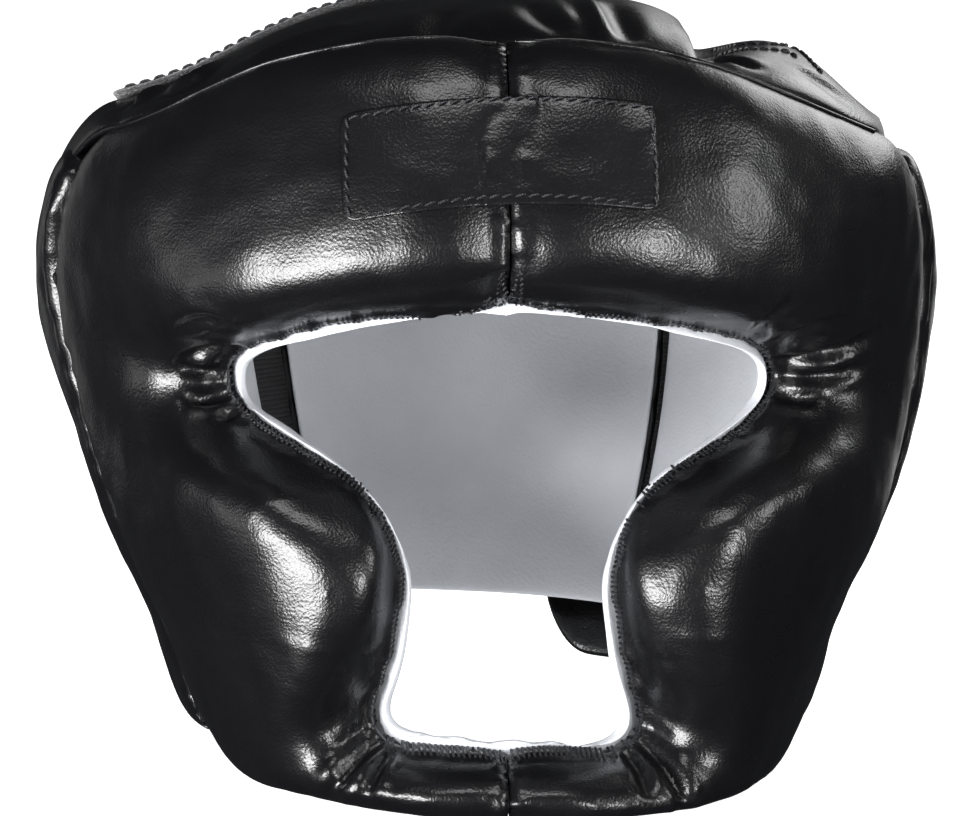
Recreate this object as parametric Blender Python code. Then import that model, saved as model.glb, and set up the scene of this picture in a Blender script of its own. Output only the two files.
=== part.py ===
"""Full-face padded head guard in synthetic leather, standing at rest on its chin and its back corners.

The pads are lofted over a head form. A place on the form is a turn, in degrees from straight ahead and
positive towards +X, a height, and a lift, which is the distance outwards from the form's surface.
Everything is shaped upright with the face towards -Y, and is then leaned back onto the floor at z = 0.
"""
import math
from collections import namedtuple

import bpy
import numpy as np
from mathutils import Vector
from mathutils.bvhtree import BVHTree

# Driving sizes, in metres
FORM_HEIGHT = 0.198          # hollow for the head, chin edge to crown
FORM_HALF_WIDTH = 0.086
FORM_FRONT = 0.097
FORM_BACK = 0.102
FORM_SQUARENESS = 0.90       # 1 is an ellipse, less is squarer
CHIN_LEVEL = -0.098          # height of the form's lower edge before the lean

FRONT_PAD_THICKNESS = 0.034
SIDE_PAD_THICKNESS = 0.036
BACK_PAD_THICKNESS = 0.016
LINING_THICKNESS = 0.0016
LINING_LIP = 0.0018          # how far the lining shows past the pad's edge
EDGE_LIFT = 0.0032           # height of a pad's very edge at an opening, above the form
OPENING_HALF_WIDTH = 0.067
OPENING_HEIGHT = 0.106
OPENING_SILL = 0.020         # opening's lower edge above the chin level
SEAM_GROOVE_DEPTH = 0.0028
SEAM_GROOVE_WIDTH = 0.0050
OPENING_ROLL = 0.016         # radius that a pad turns over at its opening
EDGE_ROLL = 0.015            # and at its outer edge

EAR_HALF_WIDTH = 0.017
EAR_HALF_HEIGHT = 0.026
EAR_TURN = 99.0
EAR_LEVEL = 0.4646           # share of FORM_HEIGHT

SIDE_BACK_TURN_LEFT = 131.0
SIDE_BACK_TURN_RIGHT = 139.0
BACK_HALF_TURN = 38.5
BACK_FOOT = 0.037            # back pad's lower edge above the chin level, on the right
BACK_FOOT_RISE = 0.005       # and how much higher it is on the left

CROWN_HEIGHT = 0.115         # ridge of the crown above the form's middle
CROWN_HALF_WIDTH = 0.119
CROWN_THICKNESS = 0.005
CROWN_STRIP_THICKNESS = 0.0025

PATCH_WIDTH = 0.0760
PATCH_HEIGHT = 0.0265
PATCH_THICKNESS = 0.0016
PATCH_TILT = 2.2
PATCH_BOW = 0.0030
PATCH_ASIDE = -0.0025        # patch's middle, to the side of the centre seam
PATCH_LEVEL = 0.8182         # and its height, as a share of FORM_HEIGHT

GUSSET_THICKNESS = 0.0025
STRAP_WIDTH = 0.050
STRAP_THICKNESS = 0.0040
STRAP_ROOT_TURN = 126.0
STRAP_TIP_TURN = 166.0
STRAP_FOOT = 0.0215          # strap's lower edge above the chin level

CROWN_FULLNESS = 0.62        # less is boxier from front to back
CROWN_ROOT_TURN = 89.3
CROWN_TIP_TURN = 33.0
CROWN_UNDER_TURN = 14.0      # where the right flap ends under the left
CROWN_STEP_START = 4.0       # the right flap rises clear of the left this far past its tip
CROWN_STEP_TURNS = 6.0
STRIP_FRONT = -0.012         # strip's front edge
STRIP_WIDTH = 0.038
STRIP_ROOT_TURN = 70.0
STRIP_TIP_TURN = 24.0
BACK_ROLL = 0.010
BACK_EDGE = 0.45             # share of the back pad's thickness left at its edge
GUSSET_LIFT = 0.0030
GUSSET_LOW = 0.20            # gusset's lower edge, as a share of FORM_HEIGHT
SEAM_RADIUS = 0.105          # from the head's axis to the middle of the side pads

GAP = 0.0004                 # between pieces that touch
LINING_CLEARANCE = 0.0009    # between a pad and the lining behind it
CROWN_CLEARANCE = 0.0010
LAP_CLEARANCE = 0.0010       # between the crown's two flaps
STRIP_CLEARANCE = 0.0006
PATCH_CLEARANCE = 0.0009
STRAP_CLEARANCE = 0.0008
PATCH_BRIDGE = 0.007         # half the width over which the patch bridges the seam's groove
STRAP_TIP_BLUNT = 0.22       # share of the strap's width left at its very tip
SEAM_GAP = 0.0006            # between the front pads on the centre line
SIDE_SEAM_GAP = 0.0009       # between a front pad and a side pad
GUSSET_CLEARANCE = 0.0009
CHIN_FLATTENED = 0.0028      # floor above the chin level, under the form's front
BACK_RAISED = 0.0215         # and under the form's back, before the lean
LINING_RAISED = 0.0012       # how far the lining's edge stays clear of the floor
JAW_TWIST = 0.0030           # how much higher the left jaw sits than the right
RIGHT_FULLNESS = 0.045       # share by which the right cheek is wider than the left

# Head form. Heights are shares of FORM_HEIGHT above the chin level, the rest are shares of its reach.
FormRow = namedtuple("FormRow", "height half_width front back")
FORM = (
    FormRow(-0.10, 0.60, 0.93, 0.76),
    FormRow(0.00, 0.64, 0.95, 0.79),
    FormRow(0.14, 0.70, 0.98, 0.85),
    FormRow(0.27, 0.77, 1.00, 0.91),
    FormRow(0.39, 0.86, 1.00, 0.96),
    FormRow(0.55, 0.95, 1.00, 1.00),
    FormRow(0.70, 1.00, 0.99, 1.00),
    FormRow(0.80, 0.98, 0.95, 0.96),
    FormRow(0.87, 0.90, 0.86, 0.88),
    FormRow(0.94, 0.70, 0.66, 0.68),
    FormRow(1.00, 0.30, 0.30, 0.30),
)

# Upper edge of all the pads: turn in degrees, height as a share of FORM_HEIGHT, and the share of the
# front pad's thickness at which the crown's edge is sewn on.
TopRow = namedtuple("TopRow", "turn height sewn")
TOP_EDGE = (
    TopRow(0, 0.900, 0.42),
    TopRow(20, 0.890, 0.44),
    TopRow(40, 0.865, 0.50),
    TopRow(56, 0.838, 0.58),
    TopRow(70, 0.820, 0.66),
    TopRow(90, 0.815, 0.72),
    TopRow(115, 0.825, 0.56),
    TopRow(138, 0.850, 0.36),
    TopRow(160, 0.870, 0.28),
    TopRow(180, 0.875, 0.26),
)

# Front pad, a row for each section from the forehead's centre seam round the cheek to the chin's centre
# seam. open_x and open_z place the opening's edge, as shares of its half width and of its height above
# the sill. turn and edge_z place the outer edge, in degrees and as a share of FORM_HEIGHT. crest and rim
# are shares of FRONT_PAD_THICKNESS near the opening and near the outer edge, and edge is the share of
# the rim's thickness that is left at the seam itself.
FrontRow = namedtuple("FrontRow", "open_x open_z turn edge_z crest rim edge")
FRONT = (
    FrontRow(0.00, 1.000, 0, 0.92, 0.78, 0.80, 0.55),
    FrontRow(0.39, 0.985, 20, 0.92, 0.80, 0.82, 0.55),
    FrontRow(0.77, 0.940, 40, 0.90, 0.80, 0.86, 0.56),
    FrontRow(0.91, 0.915, 56, 0.88, 0.76, 0.92, 0.66),
    FrontRow(0.98, 0.885, 69, 0.815, 0.66, 0.98, 0.84),
    FrontRow(1.00, 0.850, 77, 0.710, 0.56, 0.98, 0.90),
    FrontRow(0.985, 0.805, 78, 0.600, 0.56, 0.96, 0.90),
    FrontRow(0.93, 0.765, 77, 0.515, 0.66, 0.92, 0.90),
    FrontRow(0.80, 0.713, 76, 0.450, 0.80, 0.89, 0.90),
    FrontRow(0.66, 0.665, 75, 0.395, 0.88, 0.86, 0.90),
    FrontRow(0.51, 0.600, 74, 0.335, 0.92, 0.82, 0.90),
    FrontRow(0.43, 0.528, 73, 0.290, 0.94, 0.78, 0.90),
    FrontRow(0.38, 0.458, 72, 0.250, 0.93, 0.76, 0.88),
    FrontRow(0.368, 0.368, 71, 0.210, 0.92, 0.75, 0.86),
    FrontRow(0.39, 0.270, 70, 0.170, 0.89, 0.74, 0.84),
    FrontRow(0.42, 0.170, 68, 0.125, 0.86, 0.72, 0.80),
    FrontRow(0.475, 0.062, 62, 0.070, 0.80, 0.70, 0.66),
    FrontRow(0.41, 0.006, 49, 0.030, 0.76, 0.70, 0.50),
    FrontRow(0.26, 0.000, 27, 0.012, 0.74, 0.70, 0.45),
    FrontRow(0.00, 0.000, 0, 0.006, 0.74, 0.70, 0.45),
)
SIDE_SEAM_FIRST = 4          # rows of FRONT between which the side pad is sewn on
SIDE_SEAM_LAST = 16

# Rest of the side pad's outline, from the jaw along the foot, up the back and forwards along the top.
# along is a share of the way from the seam to the pad's back edge. crest and rim are shares of
# SIDE_PAD_THICKNESS.
SideRow = namedtuple("SideRow", "along edge_z crest rim edge")
SIDE_FOOT_AND_BACK = (
    SideRow(0.20, 0.074, 0.74, 0.70, 0.55),
    SideRow(0.45, 0.082, 0.74, 0.66, 0.50),
    SideRow(0.72, 0.088, 0.72, 0.58, 0.50),
    SideRow(0.93, 0.092, 0.68, 0.48, 0.55),
    SideRow(1.00, 0.160, 0.66, 0.44, 0.62),
    SideRow(1.00, 0.320, 0.68, 0.44, 0.70),
    SideRow(1.00, 0.500, 0.74, 0.46, 0.74),
    SideRow(1.00, 0.680, 0.80, 0.48, 0.74),
    SideRow(0.99, 0.815, 0.84, 0.50, 0.66),
)
SIDE_SEAM_CREST = 1.02       # crest along the upper end of the seam
TopSideRow = namedtuple("TopSideRow", "along crest rim edge")
SIDE_TOP = (
    TopSideRow(0.80, 0.88, 0.62, 0.66),
    TopSideRow(0.58, 0.94, 0.76, 0.66),
    TopSideRow(0.36, 0.98, 0.88, 0.66),
    TopSideRow(0.16, 1.02, 0.92, 0.72),
)

# Ridge of the crown from the left side to the right, as seen from the front. x is a share of
# CROWN_HALF_WIDTH and z a share of CROWN_HEIGHT.
RidgeRow = namedtuple("RidgeRow", "x z")
RIDGE_LEFT = (
    RidgeRow(-0.93, 0.690),
    RidgeRow(-0.86, 0.710),
    RidgeRow(-0.78, 0.725),
    RidgeRow(-0.65, 0.768),
    RidgeRow(-0.54, 0.828),
    RidgeRow(-0.46, 0.868),
    RidgeRow(-0.30, 0.922),
    RidgeRow(-0.10, 0.960),
    RidgeRow(0.10, 0.968),
    RidgeRow(0.30, 0.945),
    RidgeRow(0.40, 0.915),
    RidgeRow(0.48, 0.860),
)
RIDGE_RIGHT = (
    RidgeRow(0.22, 0.896),
    RidgeRow(0.36, 0.870),
    RidgeRow(0.46, 0.800),
    RidgeRow(0.53, 0.845),
    RidgeRow(0.62, 0.860),
    RidgeRow(0.68, 0.850),
    RidgeRow(0.75, 0.790),
    RidgeRow(0.83, 0.720),
    RidgeRow(0.92, 0.680),
)

# How finely the lofts are cut
FRONT_STATIONS = 38
FRONT_ACROSS = 12
SIDE_REST_POINTS = 25
SIDE_ACROSS = 8
BACKING_ACROSS = 5
CROWN_ACROSS = 12
CROWN_LEFT_STATIONS = 20
CROWN_RIGHT_STATIONS = 12
STRIP_STATIONS = 14
STRIP_ACROSS = 3
BACK_ACROSS = 10
BACK_UP = 9
GUSSET_UP = 7
PATCH_COLUMNS = 13
PATCH_ROWS = 5
STRAP_STATIONS = 15
STRAP_UP = 5
STRAP_PROBES = 9


def hermite(xs, ys, x):
    """Smooth curve through (xs, ys), with the slopes that neighbouring points give."""
    n = len(xs)
    i = min(max(int(np.searchsorted(xs, x, side="right")) - 1, 0), n - 2)

    def slope(k):
        a = max(k - 1, 0)
        b = min(k + 1, n - 1)
        return (ys[b] - ys[a]) / (xs[b] - xs[a])

    span = xs[i + 1] - xs[i]
    t = min(max((x - xs[i]) / span, 0.0), 1.0)
    h00 = (1 + 2 * t) * (1 - t) ** 2
    h10 = t * (1 - t) ** 2
    h01 = t * t * (3 - 2 * t)
    h11 = t * t * (t - 1)
    return h00 * ys[i] + h10 * span * slope(i) + h01 * ys[i + 1] + h11 * span * slope(i + 1)


def column(rows, name):
    return np.array([getattr(row, name) for row in rows], dtype=float)


def between_rows(rows, name, place):
    """A column's value between the rows, where place 0 is the first row and 1 the second."""
    return hermite(np.arange(len(rows), dtype=float), column(rows, name), place)


def level(share):
    """Height of a share of the form above the chin level."""
    return CHIN_LEVEL + share * FORM_HEIGHT


FORM_LEVELS = np.array([level(row.height) for row in FORM])
FORM_WIDTHS = column(FORM, "half_width") * FORM_HALF_WIDTH
FORM_FRONTS = column(FORM, "front") * FORM_FRONT
FORM_BACKS = column(FORM, "back") * FORM_BACK


def on_form(turn, z):
    """Point of the head form's surface."""
    a = math.radians(turn)
    s = math.sin(a)
    c = math.cos(a)
    reach = hermite(FORM_LEVELS, FORM_FRONTS if c >= 0 else FORM_BACKS, z)
    x = math.copysign(abs(s) ** FORM_SQUARENESS, s) * hermite(FORM_LEVELS, FORM_WIDTHS, z)
    y = -math.copysign(abs(c) ** FORM_SQUARENESS, c) * reach
    return np.array([x, y, z])


def form_point(turn, z, lift):
    """Point at a lift from the form, along the form's own normal."""
    step_turn = 1.5
    step_z = 0.003
    along = on_form(turn + step_turn, z) - on_form(turn - step_turn, z)
    up = on_form(turn, z + step_z) - on_form(turn, z - step_z)
    normal = np.cross(along, up)
    normal /= np.linalg.norm(normal)
    return on_form(turn, z) + normal * lift


def turn_at(x, z, lift):
    """Turn at which the form, lifted, reaches a distance x to the side in front of the ears."""
    low = 0.0
    high = 90.0
    for _ in range(30):
        middle = (low + high) / 2
        if form_point(middle, z, lift)[0] < x:
            low = middle
        else:
            high = middle
    return (low + high) / 2


def folded(turn):
    """The same turn on the right side, from 0 to 180."""
    return abs((turn + 180) % 360 - 180)


def top_edge(turn):
    """Height of the pads' upper edge at a turn."""
    return level(hermite(column(TOP_EDGE, "turn"), column(TOP_EDGE, "height"), folded(turn)))


def quarter(distance, radius):
    """Height share of a rounded edge at a distance from it."""
    if distance >= radius:
        return 1.0
    return math.sqrt(max(0.0, 1 - (1 - distance / radius) ** 2))


# A section of a pad: its edge at an opening and its outer edge, each a turn and a height, with the
# lifts near them.
Section = namedtuple("Section", "open_turn open_z edge_turn edge_z crest rim edge")


def front_section(place):
    """The front pad's section at a place between the rows of FRONT."""
    value = {name: between_rows(FRONT, name, place) for name in FrontRow._fields}
    open_z = CHIN_LEVEL + OPENING_SILL + value["open_z"] * OPENING_HEIGHT
    open_turn = turn_at(value["open_x"] * OPENING_HALF_WIDTH, open_z, EDGE_LIFT)
    crest = value["crest"] * FRONT_PAD_THICKNESS
    rim = value["rim"] * FRONT_PAD_THICKNESS
    edge_z = min(level(value["edge_z"]), top_edge(value["turn"]))
    return Section(open_turn, open_z, value["turn"], edge_z, crest, rim, value["edge"])


def across_point(section, v, lift):
    """Point between a section's two edges, 0 at the opening and 1 at the outer edge."""
    turn = section.open_turn + (section.edge_turn - section.open_turn) * v
    z = section.open_z + (section.edge_z - section.open_z) * v
    return form_point(turn, z, lift)


def section_length(section):
    """Distance between a section's two edges, at half its thickness."""
    half = (section.crest + section.rim) / 4
    points = [across_point(section, v, half) for v in np.linspace(0, 1, 9)]
    return sum(float(np.linalg.norm(b - a)) for a, b in zip(points, points[1:]))


def pad_lift(section, v, length, edge_lift):
    """Thickness of a pad across a section: rolled over at both edges, and fullest near the opening."""
    full = section.crest + (section.rim - section.crest) * v
    rise = quarter(v * length, min(OPENING_ROLL, length / 2))
    fall = quarter((1 - v) * length, min(EDGE_ROLL, length / 2))
    lift = edge_lift + (full - edge_lift) * rise
    return lift * (section.edge + (1 - section.edge) * fall)


def rolled(count):
    """Shares from 0 to 1, closer together at both ends."""
    return [(1 - math.cos(math.pi * k / (count - 1))) / 2 for k in range(count)]


def pad_ring(section, across):
    """Closed ring round a pad's section: over the outside, and back along the inside."""
    length = section_length(section)
    outer = [across_point(section, v, pad_lift(section, v, length, EDGE_LIFT)) for v in rolled(across)]
    inner = [across_point(section, v, LINING_CLEARANCE) for v in np.linspace(1, 0, BACKING_ACROSS)]
    return outer + inner


def lining_ring(section):
    """Closed ring round the lining behind a section."""
    shares = np.linspace(0, 1, BACKING_ACROSS)
    face = [across_point(section, v, 0.0) for v in shares]
    back = [across_point(section, v, -LINING_THICKNESS) for v in reversed(shares)]
    return face + back


def lipped_ring(section, lip):
    """The same ring with a lip that shows past the opening's edge."""
    past = -lip / section_length(section)
    front = across_point(section, past, EDGE_LIFT - GAP)
    return [front] + lining_ring(section) + [across_point(section, past, -LINING_THICKNESS)]


# Where the finished shape goes: the small twist of the jaw, then the lean, then the floor
LEAN = math.atan2(BACK_RAISED - CHIN_FLATTENED, FORM_BACK + FORM_FRONT)
FLOOR = (CHIN_LEVEL + CHIN_FLATTENED) * math.cos(LEAN) + FORM_FRONT * math.sin(LEAN)


def ramp(share):
    """Smooth step from 0 to 1."""
    t = min(max(share, 0.0), 1.0)
    return t * t * (3 - 2 * t)


def settled(point, lowest):
    """The upright shape's point, twisted at the jaw, leaned back and flattened where it rests."""
    x, y, z = point
    below_brow = ramp((level(0.75) - z) / (0.35 * FORM_HEIGHT))
    below_cheek = ramp((level(0.25) - z) / (0.25 * FORM_HEIGHT))
    forward = ramp(-y / FORM_FRONT)
    out = math.tanh(x / (0.5 * FORM_HALF_WIDTH))
    z -= JAW_TWIST * below_cheek * out * forward
    x += RIGHT_FULLNESS * max(x, 0.0) * below_brow
    leaned_y = y * math.cos(LEAN) + z * math.sin(LEAN)
    leaned_z = z * math.cos(LEAN) - y * math.sin(LEAN)
    return (x, leaned_y, max(leaned_z - FLOOR, lowest))


COLLECTION = bpy.data.collections.new("head_guard")
PIECES = []
UPRIGHT = {}


def clear_scene():
    for old in list(bpy.data.objects):
        bpy.data.objects.remove(old, do_unlink=True)


def material(name, colour, roughness):
    """Plain finish of a sub-part."""
    made = bpy.data.materials.new(name)
    made.use_nodes = True
    shader = made.node_tree.nodes["Principled BSDF"]
    shader.inputs["Base Color"].default_value = (*colour, 1.0)
    shader.inputs["Roughness"].default_value = roughness
    shader.inputs["Metallic"].default_value = 0.0
    return made


def add_piece(name, points, faces, finish):
    """Put a closed mesh in the scene under its node's name."""
    UPRIGHT[name] = (points, faces)
    mesh = bpy.data.meshes.new(name)
    lowest = LINING_RAISED if "lining" in name else 0.0
    mesh.from_pydata([settled(p, lowest) for p in points], [], faces)
    mesh.validate()
    mesh.shade_smooth()
    mesh.set_sharp_from_angle(angle=math.radians(50))
    mesh.materials.append(finish)
    piece = bpy.data.objects.new(name, mesh)
    COLLECTION.objects.link(piece)
    PIECES.append(piece)
    return piece


def cap_faces(size, even):
    """Faces that close a ring: one across it, or a ladder where its two halves run side by side."""
    if not even:
        return [tuple(range(size))]
    return [(k, k + 1, size - 2 - k, size - 1 - k) for k in range(size // 2 - 1)]


def loft(name, rings, finish, closed=False, flip=False, even=False):
    """Skin rings of equal size, joined in a loop or capped at both ends."""
    size = len(rings[0])
    count = len(rings)
    points = [p for ring in rings for p in ring]
    faces = []
    for i in range(count if closed else count - 1):
        j = (i + 1) % count
        for k in range(size):
            m = (k + 1) % size
            faces.append((i * size + k, j * size + k, j * size + m, i * size + m))
    if not closed:
        for start, step in ((0, 1), ((count - 1) * size, -1)):
            for quad in cap_faces(size, even):
                faces.append(tuple(start + k for k in quad[::step]))
    if flip:
        faces = [face[::-1] for face in faces]
    return add_piece(name, points, faces, finish)


def sheet(name, grid_out, grid_in, finish, flip=False):
    """Solid between two grids of points of the same size, joined round their border."""
    rows = len(grid_out)
    cols = len(grid_out[0])
    points = [p for row in grid_out for p in row] + [p for row in grid_in for p in row]
    half = rows * cols
    faces = []
    for i in range(rows - 1):
        for k in range(cols - 1):
            quad = (i * cols + k, (i + 1) * cols + k, (i + 1) * cols + k + 1, i * cols + k + 1)
            faces.append(quad)
            faces.append(tuple(half + n for n in reversed(quad)))
    border = [k for k in range(cols)]
    border += [i * cols + cols - 1 for i in range(1, rows)]
    border += [(rows - 1) * cols + k for k in range(cols - 2, -1, -1)]
    border += [i * cols for i in range(rows - 2, 0, -1)]
    for a, b in zip(border, border[1:] + border[:1]):
        faces.append((a, b, half + b, half + a))
    if flip:
        faces = [face[::-1] for face in faces]
    return add_piece(name, points, faces, finish)


def mirrored(points, side):
    return [np.array([p[0] * side, p[1], p[2]]) for p in points]


def front_places():
    """Places of the front pad's sections, closer together at the two centre seams."""
    last = len(FRONT) - 1
    even = np.linspace(0, 1, FRONT_STATIONS)
    return [last * (0.82 * t + 0.18 * (1 - math.cos(math.pi * t)) / 2) for t in even]


def grooved(point, base):
    """Sink a pad's outside into the groove of the centre seam."""
    distance = abs(base[0]) / SEAM_GROOVE_WIDTH
    sink = SEAM_GROOVE_DEPTH * math.exp(-distance * distance)
    away = point - base
    length = float(np.linalg.norm(away))
    if length < 2 * sink:
        return point
    return point - away / length * sink


def front_pad(side, finish):
    name = "front_pad_right" if side > 0 else "front_pad_left"
    rings = []
    for place in front_places():
        section = front_section(place)
        ring = pad_ring(section, FRONT_ACROSS)
        bases = [across_point(section, v, 0.0) for v in rolled(FRONT_ACROSS)]
        outer = [grooved(p, base) for p, base in zip(ring[:FRONT_ACROSS], bases)]
        ring = outer + ring[FRONT_ACROSS:]
        rings.append([p + np.array([SEAM_GAP / 2, 0, 0]) for p in ring])
    return loft(name, [mirrored(ring, side) for ring in rings], finish, flip=side < 0)


def face_lining(finish):
    places = front_places()
    right = [lipped_ring(front_section(place), LINING_LIP) for place in places]
    left = [mirrored(ring, -1) for ring in right[-2:0:-1]]
    return loft("face_lining", right + left, finish, closed=True)


def foot_and_back(side):
    """Turn of a side pad's back edge."""
    return SIDE_BACK_TURN_RIGHT if side > 0 else SIDE_BACK_TURN_LEFT


def side_outline(side):
    """A side pad's seam with the front pad, and the rest of its outline from the seam's foot round to
    its head, as rows of turn, height, crest, rim and edge."""
    seam_rows = []
    for place in front_places():
        if not SIDE_SEAM_FIRST <= place <= SIDE_SEAM_LAST:
            continue
        front = front_section(place)
        seam = front.edge_turn + math.degrees(SIDE_SEAM_GAP / SEAM_RADIUS)
        low = (place - SIDE_SEAM_FIRST) / (SIDE_SEAM_LAST - SIDE_SEAM_FIRST)
        crest = SIDE_SEAM_CREST + (SIDE_FOOT_AND_BACK[0].crest - SIDE_SEAM_CREST) * low
        seam_rows.append((seam, front.edge_z, crest * SIDE_PAD_THICKNESS, front.rim, front.edge))
    first = seam_rows[0][0]
    last = seam_rows[-1][0]
    rows = [seam_rows[-1]]
    for row in SIDE_FOOT_AND_BACK:
        turn = last + (foot_and_back(side) - last) * row.along
        crest = row.crest * SIDE_PAD_THICKNESS
        rows.append((turn, level(row.edge_z), crest, row.rim * SIDE_PAD_THICKNESS, row.edge))
    for row in SIDE_TOP:
        turn = first + (foot_and_back(side) - first) * row.along
        crest = row.crest * SIDE_PAD_THICKNESS
        rows.append((turn, top_edge(turn), crest, row.rim * SIDE_PAD_THICKNESS, row.edge))
    rows.append(seam_rows[0])
    return seam_rows, np.array(rows)


def side_sections(side):
    """Sections of a side pad all the way round its ear opening."""
    outline, rows = side_outline(side)
    places = np.arange(len(rows), dtype=float)
    for place in np.linspace(0, len(rows) - 1, SIDE_REST_POINTS)[1:-1]:
        outline.append([hermite(places, rows[:, k], place) for k in range(5)])
    sections = []
    for turn, z, crest, rim, edge in outline:
        z = min(z, top_edge(turn))
        angle = math.atan2(z - level(EAR_LEVEL), math.radians(turn - EAR_TURN) * SEAM_RADIUS)
        ear_turn = EAR_TURN + math.degrees(EAR_HALF_WIDTH / SEAM_RADIUS) * math.cos(angle)
        ear_z = level(EAR_LEVEL) + EAR_HALF_HEIGHT * math.sin(angle)
        sections.append(Section(ear_turn, ear_z, turn, z, crest, rim, edge))
    return sections


def side_pad(side, finish):
    name = "side_pad_right" if side > 0 else "side_pad_left"
    rings = [mirrored(pad_ring(section, SIDE_ACROSS), side) for section in side_sections(side)]
    return loft(name, rings, finish, closed=True, flip=side > 0)


def side_lining(side, finish):
    name = "side_lining_right" if side > 0 else "side_lining_left"
    rings = [mirrored(lining_ring(section), side) for section in side_sections(side)]
    return loft(name, rings, finish, closed=True, flip=side > 0)


def back_grid(lift_of):
    """Grid of points over the back pad, with a lift for each pair of shares."""
    grid = []
    for along in rolled(BACK_ACROSS):
        turn = 180 - BACK_HALF_TURN * (1 - 2 * along)
        foot = level(0) + BACK_FOOT + BACK_FOOT_RISE * along
        column_points = []
        for share in rolled(BACK_UP):
            z = foot + (top_edge(turn) - foot) * share
            column_points.append(form_point(turn, z, lift_of(along, share)))
        grid.append(column_points)
    return grid


def back_pad(finish):
    width = math.radians(2 * BACK_HALF_TURN) * FORM_BACK
    height = FORM_HEIGHT - BACK_FOOT

    def outside(along, share):
        side_roll = quarter(min(along, 1 - along) * width, BACK_ROLL)
        end_roll = quarter(min(share, 1 - share) * height, BACK_ROLL)
        edge = BACK_EDGE * BACK_PAD_THICKNESS
        return edge + (BACK_PAD_THICKNESS - edge) * side_roll * end_roll

    return sheet("back_pad", back_grid(outside), back_grid(lambda a, s: GAP), finish)


def back_lining(finish):
    outside = back_grid(lambda a, s: 0.0)
    inside = back_grid(lambda a, s: -LINING_THICKNESS)
    return sheet("back_lining", outside, inside, finish)


def gusset(side, finish):
    """Elastic between a side pad's back edge and the back pad."""
    name = "gusset_right" if side > 0 else "gusset_left"
    clear = math.degrees(GUSSET_CLEARANCE / FORM_BACK)
    first = foot_and_back(side) + clear
    last = 180 - BACK_HALF_TURN - clear

    def grid(lift):
        points = []
        for turn in np.linspace(first, last, 3):
            low = level(GUSSET_LOW)
            high = top_edge(turn) - GUSSET_CLEARANCE
            column_points = [form_point(turn, z, lift) for z in np.linspace(low, high, GUSSET_UP)]
            points.append(mirrored(column_points, side))
        return points

    outside = grid(GUSSET_LIFT + GUSSET_THICKNESS)
    return sheet(name, outside, grid(GUSSET_LIFT), finish, flip=side < 0)


def rim_point(turn, lift):
    """Point of the crown's sewn edge, just above the pads' upper edge."""
    z = top_edge(turn)
    up = on_form(turn, z + 0.003) - on_form(turn, z)
    return form_point(turn, z, lift) + up / np.linalg.norm(up) * CROWN_CLEARANCE


def sewn_lift(turn):
    """Lift at which the crown's outside is sewn to the pads at a turn."""
    share = hermite(column(TOP_EDGE, "turn"), column(TOP_EDGE, "sewn"), folded(turn))
    return share * FRONT_PAD_THICKNESS


def ridge_height(rows, x):
    share = hermite(column(rows, "x"), column(rows, "z"), x / CROWN_HALF_WIDTH)
    return share * CROWN_HEIGHT


def crown_point(rows, turn, along, depth, tuck):
    """Point of a crown flap: turn is where its section starts at the front, along runs to the back.

    depth is measured in from the flap's outside, and tuck lowers the sewn edge under the other flap.
    """
    lift = sewn_lift(turn) - depth - tuck
    back_turn = math.copysign(180 - abs(turn), turn)
    back_lift = sewn_lift(back_turn) - depth - tuck
    front = rim_point(turn, lift)
    back = rim_point(back_turn, max(back_lift, GAP))
    edge = front + (back - front) * along
    middle = (front[2] + back[2]) / 2
    arch = math.sin(math.pi * along) ** CROWN_FULLNESS
    rise = max(ridge_height(rows, front[0]) - depth - middle, 0.0)
    return edge + np.array([0, 0, rise * arch])


def crown_section(rows, turn, tuck):
    shares = rolled(CROWN_ACROSS)
    outer = [crown_point(rows, turn, share, 0.0, tuck) for share in shares]
    inner = [crown_point(rows, turn, share, CROWN_THICKNESS, tuck) for share in reversed(shares)]
    return outer + inner


def crown_flap_left(finish):
    turns = np.linspace(-CROWN_ROOT_TURN, CROWN_TIP_TURN, CROWN_LEFT_STATIONS)
    rings = [crown_section(RIDGE_LEFT, turn, 0.0) for turn in turns]
    return loft("crown_flap_left", rings, finish, even=True)


def crown_flap_right(finish):
    rings = []
    for turn in np.linspace(CROWN_UNDER_TURN, CROWN_ROOT_TURN, CROWN_RIGHT_STATIONS):
        clear = ramp((turn - CROWN_TIP_TURN - CROWN_STEP_START) / CROWN_STEP_TURNS)
        tuck = (CROWN_THICKNESS + LAP_CLEARANCE) * (1 - clear)
        rings.append(crown_section(RIDGE_RIGHT, turn, tuck))
    return loft("crown_flap_right", rings, finish, even=True)


def crown_strip(finish):
    """Hook-and-loop strip along the top of the left flap."""
    rings = []
    for turn in np.linspace(-STRIP_ROOT_TURN, STRIP_TIP_TURN, STRIP_STATIONS):
        front = rim_point(turn, sewn_lift(turn))
        back = rim_point(math.copysign(180 - abs(turn), turn), sewn_lift(180 - abs(turn)))
        span = back[1] - front[1]
        start = (STRIP_FRONT - front[1]) / span
        stop = (STRIP_FRONT + STRIP_WIDTH - front[1]) / span
        shares = np.linspace(start, stop, STRIP_ACROSS)
        low = [crown_point(RIDGE_LEFT, turn, share, -STRIP_CLEARANCE, 0.0) for share in shares]
        top = -STRIP_CLEARANCE - CROWN_STRIP_THICKNESS
        high = [crown_point(RIDGE_LEFT, turn, share, top, 0.0) for share in shares]
        rings.append(high + low[::-1])
    return loft("crown_strip", rings, finish)


def surface_of(*names):
    """Search tree of some pieces' upright shapes."""
    points = []
    faces = []
    for name in names:
        start = len(points)
        points += [Vector(p) for p in UPRIGHT[name][0]]
        faces += [tuple(start + k for k in face) for face in UPRIGHT[name][1]]
    return BVHTree.FromPolygons(points, faces)


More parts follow.
